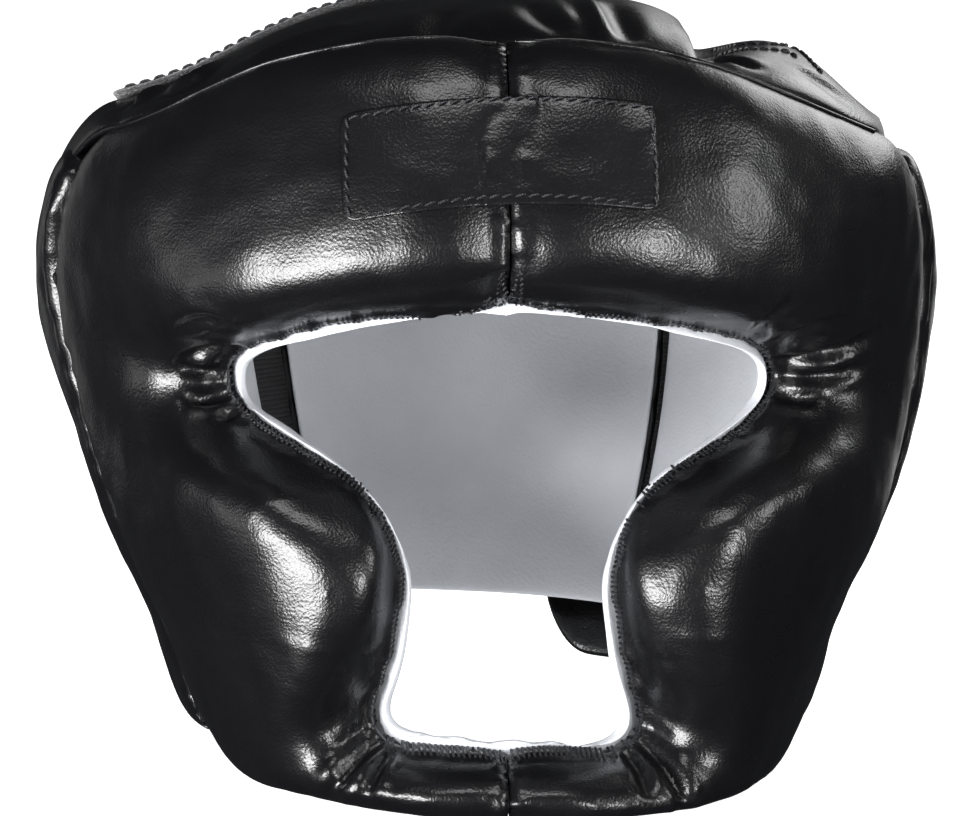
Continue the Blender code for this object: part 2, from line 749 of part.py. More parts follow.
def forehead_patch(finish):
    """Bare stitched patch laid over the forehead's centre seam."""
    pads = surface_of("front_pad_left", "front_pad_right")

    def front_face(x, z):
        hit = pads.ray_cast(Vector((x, -2 * FORM_FRONT, z)), Vector((0, 1, 0)))[0]
        return hit.y

    tilt = math.radians(PATCH_TILT)

    def grid(lift):
        columns = []
        for along in np.linspace(-0.5, 0.5, PATCH_COLUMNS):
            column_points = []
            for up in np.linspace(-0.5, 0.5, PATCH_ROWS):
                wide = along * PATCH_WIDTH
                high = up * PATCH_HEIGHT + PATCH_BOW * (1 - 4 * along * along)
                x = PATCH_ASIDE + wide * math.cos(tilt) - high * math.sin(tilt)
                z = level(PATCH_LEVEL) + wide * math.sin(tilt) + high * math.cos(tilt)
                bridge = (front_face(x - PATCH_BRIDGE, z) + front_face(x + PATCH_BRIDGE, z)) / 2
                y = min(front_face(x, z), bridge) - PATCH_CLEARANCE - lift
                column_points.append(np.array([x, y, z]))
            columns.append(column_points)
        return columns

    return sheet("forehead_patch", grid(PATCH_THICKNESS), grid(0.0), finish)


def widened(lifts):
    """Each lift as the largest of itself and its neighbours, then their mean, so that a band laid over
    uneven pads clears them smoothly."""
    rows, cols = lifts.shape

    def window(values, i, k):
        return values[max(i - 1, 0):i + 2, max(k - 1, 0):k + 2]

    largest = np.array([[window(lifts, i, k).max() for k in range(cols)] for i in range(rows)])
    return np.array([[window(largest, i, k).mean() for k in range(cols)] for i in range(rows)])


def nape_strap(finish):
    """Closing strap from the right side pad across the back, with a rounded tab."""
    pads = surface_of("side_pad_right", "back_pad", "gusset_right")
    foot = level(0) + STRAP_FOOT
    middle = foot + STRAP_WIDTH / 2
    turns = np.linspace(STRAP_ROOT_TURN, STRAP_TIP_TURN, STRAP_STATIONS)
    levels = np.linspace(foot, foot + STRAP_WIDTH, STRAP_PROBES)
    lifts = np.zeros((STRAP_STATIONS, STRAP_PROBES))
    for i, turn in enumerate(turns):
        for k in reversed(range(STRAP_PROBES)):
            far = Vector(form_point(turn, levels[k], 2 * SIDE_PAD_THICKNESS))
            near = Vector(form_point(turn, levels[k], 0.0))
            hit = pads.ray_cast(far, (near - far).normalized())[0]
            above = lifts[i][min(k + 1, STRAP_PROBES - 1)]
            lifts[i][k] = above if hit is None else (hit - near).length
    lifts = widened(lifts)

    def grid(lift):
        columns = []
        for i, turn in enumerate(turns):
            from_tip = math.radians(STRAP_TIP_TURN - turn) * FORM_BACK
            half = STRAP_WIDTH / 2 * max(quarter(from_tip, STRAP_WIDTH / 2), STRAP_TIP_BLUNT)
            column_points = []
            for share in np.linspace(-1, 1, STRAP_UP):
                z = middle + share * half
                reach = float(np.interp(z, levels, lifts[i])) + STRAP_CLEARANCE + lift
                column_points.append(form_point(turn, z, reach))
            columns.append(column_points)
        return columns

    return sheet("nape_strap", grid(STRAP_THICKNESS), grid(0.0), finish)


def stand_on_centre():
    """Move every piece so that the middle of the whole stands on the origin."""
    corners = [piece.data.vertices[i].co for piece in PIECES for i in range(len(piece.data.vertices))]
    middle_x = (min(c.x for c in corners) + max(c.x for c in corners)) / 2
    middle_y = (min(c.y for c in corners) + max(c.y for c in corners)) / 2
    for piece in PIECES:
        piece.location = (-middle_x, -middle_y, 0.0)
    bpy.context.view_layer.update()


clear_scene()
bpy.context.scene.collection.children.link(COLLECTION)
BLACK = material("synthetic_leather_black", (0.012, 0.012, 0.014), 0.42)
WHITE = material("leatherette_off_white", (0.62, 0.62, 0.63), 0.55)
ELASTIC = material("elastic_black", (0.010, 0.010, 0.011), 0.85)
LOOP = material("loop_strip_black", (0.014, 0.014, 0.015), 0.95)
for side in (-1, 1):
    front_pad(side, BLACK)
    side_pad(side, BLACK)
    side_lining(side, WHITE)
    gusset(side, ELASTIC)
face_lining(WHITE)
back_pad(BLACK)
back_lining(WHITE)
crown_flap_left(BLACK)
crown_flap_right(BLACK)
crown_strip(LOOP)
forehead_patch(BLACK)
nape_strap(BLACK)
stand_on_centre()
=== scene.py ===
"""Padded head guard in black synthetic leather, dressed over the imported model.

Each soft piece starts from the solid that it stands for. It is filled out by a cloth simulation where it is
foam, and is then pressed and creased along lines given as places in the picture.
"""
import math

import bpy
import numpy as np
from mathutils import Matrix, Vector, noise
from mathutils.bvhtree import BVHTree


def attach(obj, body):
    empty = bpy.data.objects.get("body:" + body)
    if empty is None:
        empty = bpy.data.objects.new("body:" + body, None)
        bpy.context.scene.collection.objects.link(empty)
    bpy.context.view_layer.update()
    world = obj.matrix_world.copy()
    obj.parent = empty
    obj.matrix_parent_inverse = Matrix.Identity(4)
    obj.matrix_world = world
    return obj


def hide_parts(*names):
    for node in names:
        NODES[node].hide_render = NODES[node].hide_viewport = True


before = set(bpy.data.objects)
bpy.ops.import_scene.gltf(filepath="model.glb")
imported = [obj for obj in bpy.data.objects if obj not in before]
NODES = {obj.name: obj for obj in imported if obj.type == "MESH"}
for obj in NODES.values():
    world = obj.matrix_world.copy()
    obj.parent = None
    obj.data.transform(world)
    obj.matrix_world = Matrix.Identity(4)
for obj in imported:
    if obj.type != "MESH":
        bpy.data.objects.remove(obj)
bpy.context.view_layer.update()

# The picture: its size and the camera's reach, in pixels
PICTURE_WIDTH = 970
FOCAL_PIXELS = 3825.0
CENTRE_PIXEL = (485.0, 408.0)

# The guard leans back as it rests. The camera looks at the middle of the head hollow.
LEAN = math.radians(5.368)
HEAD_CENTRE = Vector((-0.00056, 0.00186, 0.08571))
CAMERA_TURN = math.radians(-3.0)
CAMERA_RISE = math.radians(3.0)
CAMERA_DISTANCE = 1.025

FOAM_VOXEL = 0.0026
LEATHER_SWELL = 0.0016       # foam starts this much slimmer and is blown out again
SWELL_CAP = 0.0040           # and no point moves further than this
SEAM_HOLD = 0.0032           # leather this near to a seam or to the lining is held
STITCH_PITCH = 0.0040
THREAD_RADIUS = 0.00042


def place_camera():
    """Camera at the picture's viewing angle."""
    data = bpy.data.cameras.new("picture_camera")
    data.sensor_width = 36.0
    data.lens = FOCAL_PIXELS / PICTURE_WIDTH * data.sensor_width
    data.clip_start = 0.05
    data.clip_end = 20.0
    camera = bpy.data.objects.new("picture_camera", data)
    bpy.context.scene.collection.objects.link(camera)
    back = Vector((math.sin(CAMERA_TURN) * math.cos(CAMERA_RISE),
                   -math.cos(CAMERA_TURN) * math.cos(CAMERA_RISE), math.sin(CAMERA_RISE)))
    upright = (-back).to_track_quat("-Z", "Y").to_matrix().to_4x4()
    upright.translation = back * CAMERA_DISTANCE
    camera.matrix_world = Matrix.Translation(HEAD_CENTRE) @ Matrix.Rotation(-LEAN, 4, "X") @ upright
    bpy.context.scene.camera = camera
    bpy.context.view_layer.update()
    return camera


CAMERA = place_camera()


def sight(px, py):
    """Where the line of sight through a place in the picture starts, and its direction."""
    turned = CAMERA.matrix_world.to_3x3()
    ray = Vector(((px - CENTRE_PIXEL[0]) / FOCAL_PIXELS, (CENTRE_PIXEL[1] - py) / FOCAL_PIXELS, -1.0))
    return CAMERA.matrix_world.translation, (turned @ ray).normalized()


# Finishes

def linear(hex_colour):
    """Linear colour of an sRGB hex value."""
    channels = [int(hex_colour[i:i + 2], 16) / 255 for i in (1, 3, 5)]
    return [c / 12.92 if c <= 0.04045 else ((c + 0.055) / 1.055) ** 2.4 for c in channels] + [1.0]


def add(tree, kind, values=None, links=None, **settings):
    """Add a node with its settings, its fixed inputs and its links."""
    made = tree.nodes.new(kind)
    for name, value in settings.items():
        setattr(made, name, value)
    for key, value in (values or {}).items():
        made.inputs[key].default_value = value
    for key, socket in (links or {}).items():
        tree.links.new(socket, made.inputs[key])
    return made


def new_finish(name):
    """Empty material with its output, Principled shader and Object coordinates."""
    made = bpy.data.materials.new(name)
    made.use_nodes = True
    tree = made.node_tree
    shader = tree.nodes["Principled BSDF"]
    coords = add(tree, "ShaderNodeTexCoord").outputs["Object"]
    return made, tree, shader, coords


def two_tone(tree, shader, factor, dark, light):
    """Colour between two hex values by a factor."""
    mix = add(tree, "ShaderNodeMix", data_type="RGBA", values={6: linear(dark), 7: linear(light)},
              links={0: factor})
    tree.links.new(mix.outputs[2], shader.inputs["Base Color"])


def varied_roughness(tree, shader, factor, low, high):
    span = add(tree, "ShaderNodeMapRange", values={"To Min": low, "To Max": high}, links={"Value": factor})
    tree.links.new(span.outputs["Result"], shader.inputs["Roughness"])


def pebbled_leather():
    """Synthetic leather, embossed: pebbles of about 1 mm give a broken, grainy highlight, and the coat
    is a little smoother where it is stretched."""
    made, tree, shader, coords = new_finish("synthetic_leather_black")
    shader.inputs["IOR"].default_value = 1.5
    shader.inputs["Specular IOR Level"].default_value = 0.62
    warp = add(tree, "ShaderNodeTexNoise", values={"Scale": 260.0, "Detail": 2.0}, links={"Vector": coords})
    nudge = add(tree, "ShaderNodeVectorMath", operation="SCALE", values={"Scale": 0.0016},
                links={0: warp.outputs["Color"]})
    moved = add(tree, "ShaderNodeVectorMath", operation="ADD",
                links={0: coords, 1: nudge.outputs["Vector"]})
    pebble = add(tree, "ShaderNodeTexVoronoi", feature="SMOOTH_F1",
                 values={"Scale": 1500.0, "Smoothness": 0.6}, links={"Vector": moved.outputs["Vector"]})
    fine = add(tree, "ShaderNodeTexNoise", values={"Scale": 2600.0, "Detail": 3.0, "Roughness": 0.6},
               links={"Vector": coords})
    pull = add(tree, "ShaderNodeMapping", values={"Scale": (90.0, 90.0, 330.0)}, links={"Vector": coords})
    streak = add(tree, "ShaderNodeTexNoise", values={"Scale": 1.0, "Detail": 4.0, "Roughness": 0.55},
                 links={"Vector": pull.outputs["Vector"]})
    broad = add(tree, "ShaderNodeTexNoise", values={"Scale": 38.0, "Detail": 3.0}, links={"Vector": coords})
    first = add(tree, "ShaderNodeBump", values={"Strength": 0.55, "Distance": 0.00011},
                links={"Height": pebble.outputs["Distance"]})
    second = add(tree, "ShaderNodeBump", values={"Strength": 0.25, "Distance": 0.00006},
                 links={"Height": fine.outputs["Fac"], "Normal": first.outputs["Normal"]})
    third = add(tree, "ShaderNodeBump", values={"Strength": 0.18, "Distance": 0.0005},
                links={"Height": streak.outputs["Fac"], "Normal": second.outputs["Normal"]})
    tree.links.new(third.outputs["Normal"], shader.inputs["Normal"])
    two_tone(tree, shader, broad.outputs["Fac"], "#040405", "#0b0b0d")
    varied_roughness(tree, shader, streak.outputs["Fac"], 0.25, 0.32)
    return made


def lining_leatherette():
    """Off-white leatherette: a fine even grain and a soft sheen, a little grubbier in patches."""
    made, tree, shader, coords = new_finish("leatherette_off_white")
    shader.inputs["IOR"].default_value = 1.48
    grain = add(tree, "ShaderNodeTexVoronoi", feature="SMOOTH_F1",
                values={"Scale": 1100.0, "Smoothness": 0.6}, links={"Vector": coords})
    patches = add(tree, "ShaderNodeTexNoise", values={"Scale": 45.0, "Detail": 4.0},
                  links={"Vector": coords})
    bump = add(tree, "ShaderNodeBump", values={"Strength": 0.5, "Distance": 0.00018},
               links={"Height": grain.outputs["Distance"]})
    tree.links.new(bump.outputs["Normal"], shader.inputs["Normal"])
    two_tone(tree, shader, patches.outputs["Fac"], "#b2b4b9", "#c8cace")
    varied_roughness(tree, shader, patches.outputs["Fac"], 0.42, 0.56)
    return made


def loop_pile():
    """Loop side of a hook-and-loop strip: a matt, fuzzy pile of small loops that catches no highlight."""
    made, tree, shader, coords = new_finish("loop_strip_black")
    shader.inputs["Sheen Weight"].default_value = 0.35
    shader.inputs["Sheen Roughness"].default_value = 0.6
    loops = add(tree, "ShaderNodeTexVoronoi", values={"Scale": 900.0}, links={"Vector": coords})
    fuzz = add(tree, "ShaderNodeTexNoise", values={"Scale": 1500.0, "Detail": 4.0, "Roughness": 0.75},
               links={"Vector": coords})
    first = add(tree, "ShaderNodeBump", values={"Strength": 1.0, "Distance": 0.0006},
                links={"Height": loops.outputs["Distance"]})
    second = add(tree, "ShaderNodeBump", values={"Strength": 0.8, "Distance": 0.0005},
                 links={"Height": fuzz.outputs["Fac"], "Normal": first.outputs["Normal"]})
    tree.links.new(second.outputs["Normal"], shader.inputs["Normal"])
    two_tone(tree, shader, fuzz.outputs["Fac"], "#08080a", "#2b2b30")
    varied_roughness(tree, shader, fuzz.outputs["Fac"], 0.85, 1.0)
    return made


def ribbed_elastic():
    """Woven elastic webbing: upright ribs 1.3 mm apart give it fine lines."""
    made, tree, shader, coords = new_finish("elastic_black")
    shader.inputs["Sheen Weight"].default_value = 0.2
    ribs = add(tree, "ShaderNodeTexWave", wave_type="BANDS", bands_direction="Z",
               values={"Scale": 245.0, "Distortion": 0.4, "Detail": 1.0}, links={"Vector": coords})
    weave = add(tree, "ShaderNodeTexNoise", values={"Scale": 1800.0, "Detail": 2.0},
                links={"Vector": coords})
    first = add(tree, "ShaderNodeBump", values={"Strength": 0.9, "Distance": 0.0005},
                links={"Height": ribs.outputs["Fac"]})
    second = add(tree, "ShaderNodeBump", values={"Strength": 0.5, "Distance": 0.0002},
                 links={"Height": weave.outputs["Fac"], "Normal": first.outputs["Normal"]})
    tree.links.new(second.outputs["Normal"], shader.inputs["Normal"])
    two_tone(tree, shader, ribs.outputs["Fac"], "#09090a", "#1d1d20")
    varied_roughness(tree, shader, weave.outputs["Fac"], 0.75, 0.95)
    return made


def bonded_thread():
    """Bonded nylon thread: twisted, so each stitch has slanting lines and a dull glint."""
    made, tree, shader, coords = new_finish("bonded_thread_black")
    twist = add(tree, "ShaderNodeTexWave", wave_type="BANDS", bands_direction="DIAGONAL",
                values={"Scale": 900.0, "Distortion": 1.0}, links={"Vector": coords})
    bump = add(tree, "ShaderNodeBump", values={"Strength": 0.7, "Distance": 0.0002},
               links={"Height": twist.outputs["Fac"]})
    tree.links.new(bump.outputs["Normal"], shader.inputs["Normal"])
    two_tone(tree, shader, twist.outputs["Fac"], "#0c0c0e", "#232327")
    varied_roughness(tree, shader, twist.outputs["Fac"], 0.38, 0.55)
    return made


LEATHER = pebbled_leather()
LINING = lining_leatherette()
PILE = loop_pile()
ELASTIC = ribbed_elastic()
THREAD = bonded_thread()


# Shaping

def take(*pieces):
    """Select only these pieces, the first one active."""
    if bpy.context.mode != "OBJECT":
        bpy.ops.object.mode_set(mode="OBJECT")
    bpy.ops.object.select_all(action="DESELECT")
    for piece in pieces:
        piece.select_set(True)
    bpy.context.view_layer.objects.active = pieces[0]


def finish_with(piece, kind, **settings):
    """Add a modifier and apply it."""
    take(piece)
    modifier = piece.modifiers.new(kind.lower(), kind)
    for name, value in settings.items():
        setattr(modifier, name, value)
    bpy.ops.object.modifier_apply(modifier=modifier.name)


def subdivide_smooth(piece, levels):
    finish_with(piece, "SUBSURF", levels=levels, render_levels=levels)


def copy_of(node, name):
    """Copy of a CAD solid with its quads restored."""
    mesh = NODES[node].data.copy()
    mesh.materials.clear()
    piece = bpy.data.objects.new(name, mesh)
    bpy.context.scene.collection.objects.link(piece)
    take(piece)
    bpy.ops.object.mode_set(mode="EDIT")
    bpy.ops.mesh.select_all(action="SELECT")
    bpy.ops.mesh.remove_doubles(threshold=0.00002)
    bpy.ops.mesh.tris_convert_to_quads(face_threshold=math.radians(50), shape_threshold=math.radians(60))
    bpy.ops.object.mode_set(mode="OBJECT")
    return piece


def points_of(piece):
    """Places and outward directions of a piece's points."""
    mesh = piece.data
    places = np.empty(len(mesh.vertices) * 3)
    mesh.vertices.foreach_get("co", places)
    outward = np.empty(len(mesh.vertices) * 3)
    mesh.vertex_normals.foreach_get("vector", outward)
    return places.reshape(-1, 3), outward.reshape(-1, 3)


def move_points(piece, places):
    places[:, 2] = np.maximum(places[:, 2], 0.0)
    piece.data.vertices.foreach_set("co", places.astype(np.float32).ravel())
    piece.data.update()


def surface(*pieces):
    """Search tree of some pieces as they are now."""
    points = []
    faces = []
    for piece in pieces:
        start = len(points)
        points += [v.co.copy() for v in piece.data.vertices]
        faces += [[start + i for i in polygon.vertices] for polygon in piece.data.polygons]
    return BVHTree.FromPolygons(points, faces)


def distance_to(tree, places, reach):
    """Distance from each place to a surface, or the reach where it is further."""
    result = np.full(len(places), reach)
    for i, place in enumerate(places):
        found = tree.find_nearest(Vector(place), reach)
        if found[0] is not None:
            result[i] = found[3]
    return result


def held_points(piece, neighbours):
    """Points of the leather that a seam or the lining holds."""
    places = points_of(piece)[0]
    held = np.zeros(len(places), bool)
    for node in neighbours:
        held |= distance_to(surface(NODES[node]), places, SEAM_HOLD) < SEAM_HOLD * 0.98
    return held


def blown_up(piece, neighbours, pressure=4.0):
    """Foam under leather, slimmed where free and swollen by a cloth simulation with its seams held."""
    held = held_points(piece, neighbours)
    before, outward = points_of(piece)
    slim = before - outward * LEATHER_SWELL * (~held)[:, None]
    move_points(piece, slim)
    group = piece.vertex_groups.new(name="held")
    group.add([int(i) for i in np.flatnonzero(held)], 1.0, "REPLACE")
    cloth = piece.modifiers.new("cloth", "CLOTH")
    settings = cloth.settings
    settings.quality = 4
    settings.mass = 0.25
    settings.tension_stiffness = 12
    settings.compression_stiffness = 12
    settings.shear_stiffness = 6
    settings.bending_stiffness = 0.6
    settings.vertex_group_mass = "held"
    settings.pin_stiffness = 1.0
    settings.use_pressure = True
    settings.uniform_pressure_force = pressure
    settings.effector_weights.gravity = 0.0
    cloth.collision_settings.use_collision = False
    cloth.point_cache.frame_start = 1
    cloth.point_cache.frame_end = 20
    scene = bpy.context.scene
    for number in range(1, 21):
        scene.frame_set(number)
    take(piece)
    bpy.ops.object.modifier_apply(modifier="cloth")
    scene.frame_set(1)
    piece.vertex_groups.clear()
    after = points_of(piece)[0]
    step = after - slim
    length = np.linalg.norm(step, axis=1, keepdims=True)
    after = slim + step * np.minimum(1.0, SWELL_CAP / np.maximum(length, 1e-9))
    move_points(piece, after)


def foam_pad(node, neighbours, voxel=FOAM_VOXEL):
    """Padded piece over a CAD solid."""
    piece = copy_of(node, node + "_leather")
    subdivide_smooth(piece, 2)
    finish_with(piece, "REMESH", mode="VOXEL", voxel_size=voxel, adaptivity=0.0)
    finish_with(piece, "SMOOTH", factor=0.5, iterations=3)
    blown_up(piece, neighbours)
    subdivide_smooth(piece, 1)
    return piece


def smooth_line(points, count):
    """Points along a smooth curve through some others."""
    pts = np.array(points, float)
    n = len(pts)
    ts = np.linspace(0, n - 1, count)
    result = []
    for t in ts:
        i = min(int(t), n - 2)
        f = t - i
        a = pts[max(i - 1, 0)]
        b = pts[i]
        c = pts[i + 1]
        d = pts[min(i + 2, n - 1)]
        result.append(0.5 * (2 * b + (c - a) * f + (2 * a - 5 * b + 4 * c - d) * f * f
                             + (3 * b - a - 3 * c + d) * f ** 3))
    return np.array(result)


def on_pieces(pixels, tree, count):
    """A line drawn in the picture, laid on a surface."""
    laid = []
    for px, py in smooth_line(pixels, count):
        start, ray = sight(px, py)
        hit = tree.ray_cast(start, ray)[0]
        if hit is not None:
            laid.append(np.array(hit))
    return np.array(laid)


def distance_to_line(places, line):
    """Distance of each place from a line of points, and how far along the line it is nearest, 0 to 1."""
    best = np.full(len(places), 1e9)
    along = np.zeros(len(places))
    for i in range(len(line) - 1):
        a = line[i]
        step = line[i + 1] - a
        share = np.clip((places - a) @ step / max(step @ step, 1e-12), 0, 1)
        distance = np.linalg.norm(places - a - share[:, None] * step, axis=1)
        nearer = distance < best
        best[nearer] = distance[nearer]
        along[nearer] = (i + share[nearer]) / (len(line) - 1)
    return best, along


def crease(pieces, line, depth, width, lips=0.35, taper=True):
    """Press a crease into the leather along a line, with a soft lip either side. A negative depth
    raises a ridge."""
    if len(line) < 2:
        return
    middle = line.mean(axis=0)
    radius = np.linalg.norm(line - middle, axis=1).max() + 5 * width
    for piece in pieces:
        places, outward = points_of(piece)
        near = np.linalg.norm(places - middle, axis=1) < radius
        if not near.any():
            continue
        distance, along = distance_to_line(places[near], line)
        profile = np.exp(-(distance / width) ** 2)
        if lips:
            profile -= lips * np.exp(-((distance - 2.2 * width) / width) ** 2)
        fade = np.sin(np.pi * np.clip(along, 0.02, 0.98)) ** 0.6 if taper else 1.0
        places[near] -= outward[near] * (profile * fade * depth)[:, None]
        move_points(piece, places)


def uneven(piece, size, height, seed):
    """Slight unevenness of foam and leather, in lumps of about a size."""
    places, outward = points_of(piece)
    shift = Vector((seed * 1.7, seed * 0.9, seed * 2.3))
    lumps = np.array([noise.noise(Vector(p) / size + shift) for p in places])
    move_points(piece, places + outward * (lumps * height)[:, None])


def ready(piece, material, slot_name, *nodes):
    """Dress a finished piece, attach it to the root, and hide the solids that it stands for."""
    piece.data.materials.clear()
    piece.data.materials.append(material)
    take(piece)
    bpy.ops.object.shade_smooth()
    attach(piece, "root")
    if nodes:
        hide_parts(*nodes)
    return piece


# Foam pads
NEIGHBOURS = {
    "front_pad_left": ("face_lining", "front_pad_right", "side_pad_left"),
    "front_pad_right": ("face_lining", "front_pad_left", "side_pad_right"),
    "side_pad_left": ("side_lining_left", "front_pad_left", "gusset_left"),
    "side_pad_right": ("side_lining_right", "front_pad_right", "gusset_right", "nape_strap"),
    "back_pad": ("back_lining", "gusset_left", "gusset_right", "nape_strap"),
}
PADS = {node: foam_pad(node, neighbours) for node, neighbours in NEIGHBOURS.items()}
FRONT = [PADS["front_pad_left"], PADS["front_pad_right"]]

for number, piece in enumerate(PADS.values()):
    uneven(piece, 0.030, 0.0011, number)
    uneven(piece, 0.009, 0.00030, number + 7)

CENTRE_SEAM = -0.0006        # x of the seam between the front pads


def meet_at_centre(piece, side):
    """Bring a front pad's end up to the centre seam, so that the two pads touch along it."""
    places, outward = points_of(piece)
    away = (places[:, 0] - CENTRE_SEAM) * side
    end = (away < 0.0045) & (outward[:, 0] * side < -0.55) | (away < 0.0014)
    places[end, 0] = CENTRE_SEAM + side * 0.0002
    move_points(piece, places)


meet_at_centre(PADS["front_pad_left"], -1)
meet_at_centre(PADS["front_pad_right"], 1)


def raise_brow(piece):
    """Bring the forehead's upper edge up in front of the crown's seam, most on the left of the middle."""
    places = points_of(piece)[0]
    upper = np.clip((places[:, 2] - 0.160) / 0.016, 0, 1)
    across = np.interp(places[:, 0], (-0.092, -0.060, 0.010, 0.072), (0, 1, 1, 0))
    places[:, 2] += 0.0038 * upper * upper * (3 - 2 * upper) * across
    move_points(piece, places)


for piece in FRONT:
    raise_brow(piece)


def rim_heights(places, pick):
    """Height of a piece's upper or lower rim above each place, found by its turn round the head."""
    turns = np.degrees(np.arctan2(places[:, 0], -places[:, 1]))
    bins = np.floor((turns + 180) / 4).astype(int)
    heights = np.zeros(len(places))
    for number in np.unique(bins):
        near = np.abs((bins - number + 45) % 90 - 45) <= 1
        heights[bins == number] = pick(places[near, 2])
    return heights


def raise_rim(piece, rise, reach):
    """Bring a pad's upper edge up to the crown, so that the seam between them closes."""
    places = points_of(piece)[0]
    share = np.clip((places[:, 2] - rim_heights(places, np.max) + reach) / reach, 0, 1)
    places[:, 2] += rise * share * share * (3 - 2 * share)
    move_points(piece, places)


for node in ("side_pad_left", "side_pad_right", "back_pad"):
    raise_rim(PADS[node], 0.0030, 0.016)

# Creases, each drawn as places in the picture: line, depth and width in metres
CREASES = (
    (((249, 352), (225, 346), (203, 351), (184, 362)), 0.0022, 0.0016),
    (((246, 366), (222, 372), (200, 371), (180, 366)), 0.0020, 0.0014),
    (((246, 380), (226, 392), (204, 398), (188, 396)), 0.0026, 0.0018),
    (((232, 330), (214, 322), (196, 322), (176, 330)), 0.0014, 0.0018),
    (((252, 398), (236, 412), (220, 420)), 0.0012, 0.0014),
    (((778, 362), (806, 358), (842, 350), (876, 334)), 0.0026, 0.0018),
    (((776, 374), (804, 376), (836, 374), (862, 366)), 0.0020, 0.0015),
    (((774, 348), (796, 332), (824, 324), (852, 322)), 0.0018, 0.0018),
    (((770, 390), (792, 398), (816, 398)), 0.0014, 0.0015),
    (((752, 336), (770, 318), (790, 304)), 0.0012, 0.0015),
    (((376, 742), (352, 764), (334, 786), (326, 806)), 0.0026, 0.0018),
    (((392, 750), (376, 772), (366, 796)), 0.0018, 0.0014),
    (((372, 724), (352, 738), (336, 756)), 0.0016, 0.0015),
    (((638, 738), (662, 762), (680, 788), (688, 806)), 0.0026, 0.0018),
    (((622, 748), (640, 772), (650, 798)), 0.0018, 0.0014),
    (((640, 722), (662, 738), (680, 758)), 0.0014, 0.0015),
)
# Where the cheeks are fullest beside the mouth, and the shallower foam outside them
CHEEK_SWELLS = (
    (((330, 470), (356, 510), (370, 552), (366, 606), (356, 660)), -0.0024, 0.0065),
    (((676, 470), (652, 510), (642, 552), (648, 606), (658, 660)), -0.0026, 0.0065),
    (((272, 500), (292, 545), (304, 600), (300, 650)), 0.0018, 0.0100),
    (((702, 530), (708, 580), (700, 640)), 0.0014, 0.0090),
)
front_surface = surface(*FRONT)
for pixels, depth, width in CHEEK_SWELLS:
    crease(FRONT, on_pieces(pixels, front_surface, 20), depth, width, lips=0.0)
for pixels, depth, width in CREASES:
    crease(FRONT, on_pieces(pixels, front_surface, 16), depth, width)

for node, piece in PADS.items():
    ready(piece, LEATHER, "synthetic_leather_black", node)


# Crown flaps, strap, strip and patch
def leather_flap(node, levels):
    piece = copy_of(node, node + "_leather")
    subdivide_smooth(piece, levels)
    ready(piece, LEATHER, "synthetic_leather_black", node)
    return piece


CROWN = [leather_flap("crown_flap_left", 3), leather_flap("crown_flap_right", 3)]
SHOULDER_START = -0.096      # the left flap turns down over the side pad from here outwards
SHOULDER_SPAN = 0.011
SHOULDER_DROP = 0.022


def fold_shoulder(piece):
    """Let the left flap's end drape down over the side pad in a soft shoulder."""
    places = points_of(piece)[0]
    past = np.maximum(SHOULDER_START - places[:, 0], 0.0)
    places[:, 0] -= past * 0.9
    places[:, 2] -= SHOULDER_DROP * (past / SHOULDER_SPAN) ** 2.3
    move_points(piece, places)


def lower_rim(piece, drop, reach):
    """Bring the crown's edge down over the pads behind the ears, where it is sewn on."""
    places = points_of(piece)[0]
    share = 1 - np.clip((places[:, 2] - rim_heights(places, np.min)) / reach, 0, 1)
    behind = np.clip((places[:, 1] + 0.02) / 0.03, 0, 1)
    places[:, 2] -= drop * share * share * (3 - 2 * share) * behind
    move_points(piece, places)


for piece in CROWN:
    lower_rim(piece, 0.0045, 0.014)
fold_shoulder(CROWN[0])
# Folds of the crown, drawn as places in the picture: line, depth and width in metres. Ridges are negative.
CROWN_FOLDS = (
    (((136, 104), (152, 94), (176, 80), (198, 60), (214, 44)), -0.0022, 0.0017),
    (((140, 94), (154, 85), (172, 74), (190, 60)), 0.0018, 0.0024),
    (((168, 92), (194, 82), (216, 66), (238, 44), (254, 34)), -0.0026, 0.0017),
    (((186, 76), (206, 62), (222, 48), (236, 38)), 0.0022, 0.0026),
    (((250, 60), (300, 40), (350, 26)), -0.0016, 0.0040),
    (((452, 8), (440, 22), (432, 38)), 0.0014, 0.0040),
    (((530, 4), (540, 18), (566, 36)), 0.0016, 0.0036),
    (((588, 0), (598, 18), (606, 38)), -0.0016, 0.0024),
    (((612, 2), (622, 20), (630, 40)), 0.0014, 0.0034),
    (((712, 62), (735, 60), (758, 68)), 0.0014, 0.0018),
    (((800, 66), (822, 80), (846, 96)), -0.0012, 0.0018),
)
crown_surface = surface(*CROWN)
for pixels, depth, width in CROWN_FOLDS:
    crease(CROWN, on_pieces(pixels, crown_surface, 14), depth, width, lips=0.3)
for number, piece in enumerate(CROWN):
    uneven(piece, 0.024, 0.0010, number + 20)
leather_flap("nape_strap", 2)


def flat_piece(node, name, levels, material, slot_name):
    """Sheet of cloth or leatherette over a CAD solid."""
    piece = copy_of(node, name)
    subdivide_smooth(piece, levels)
    ready(piece, material, slot_name, node)
    return piece


def threads(name, runs, radius, material=None, slot_name="synthetic_leather_black"):
    """Round threads or cords along some lines of points, as one piece."""
    data = bpy.data.curves.new(name, "CURVE")
    data.dimensions = "3D"
    data.bevel_depth = radius
    data.bevel_resolution = 1
    data.use_fill_caps = True
    for run in runs:
        spline = data.splines.new("POLY")
        spline.points.add(len(run) - 1)
        for point, place in zip(spline.points, run):
            point.co = (*place, 1.0)
    piece = bpy.data.objects.new(name, data)
    bpy.context.scene.collection.objects.link(piece)
    take(piece)
    bpy.ops.object.convert(target="MESH")
    piece = bpy.context.active_object
    return ready(piece, material or THREAD, slot_name)


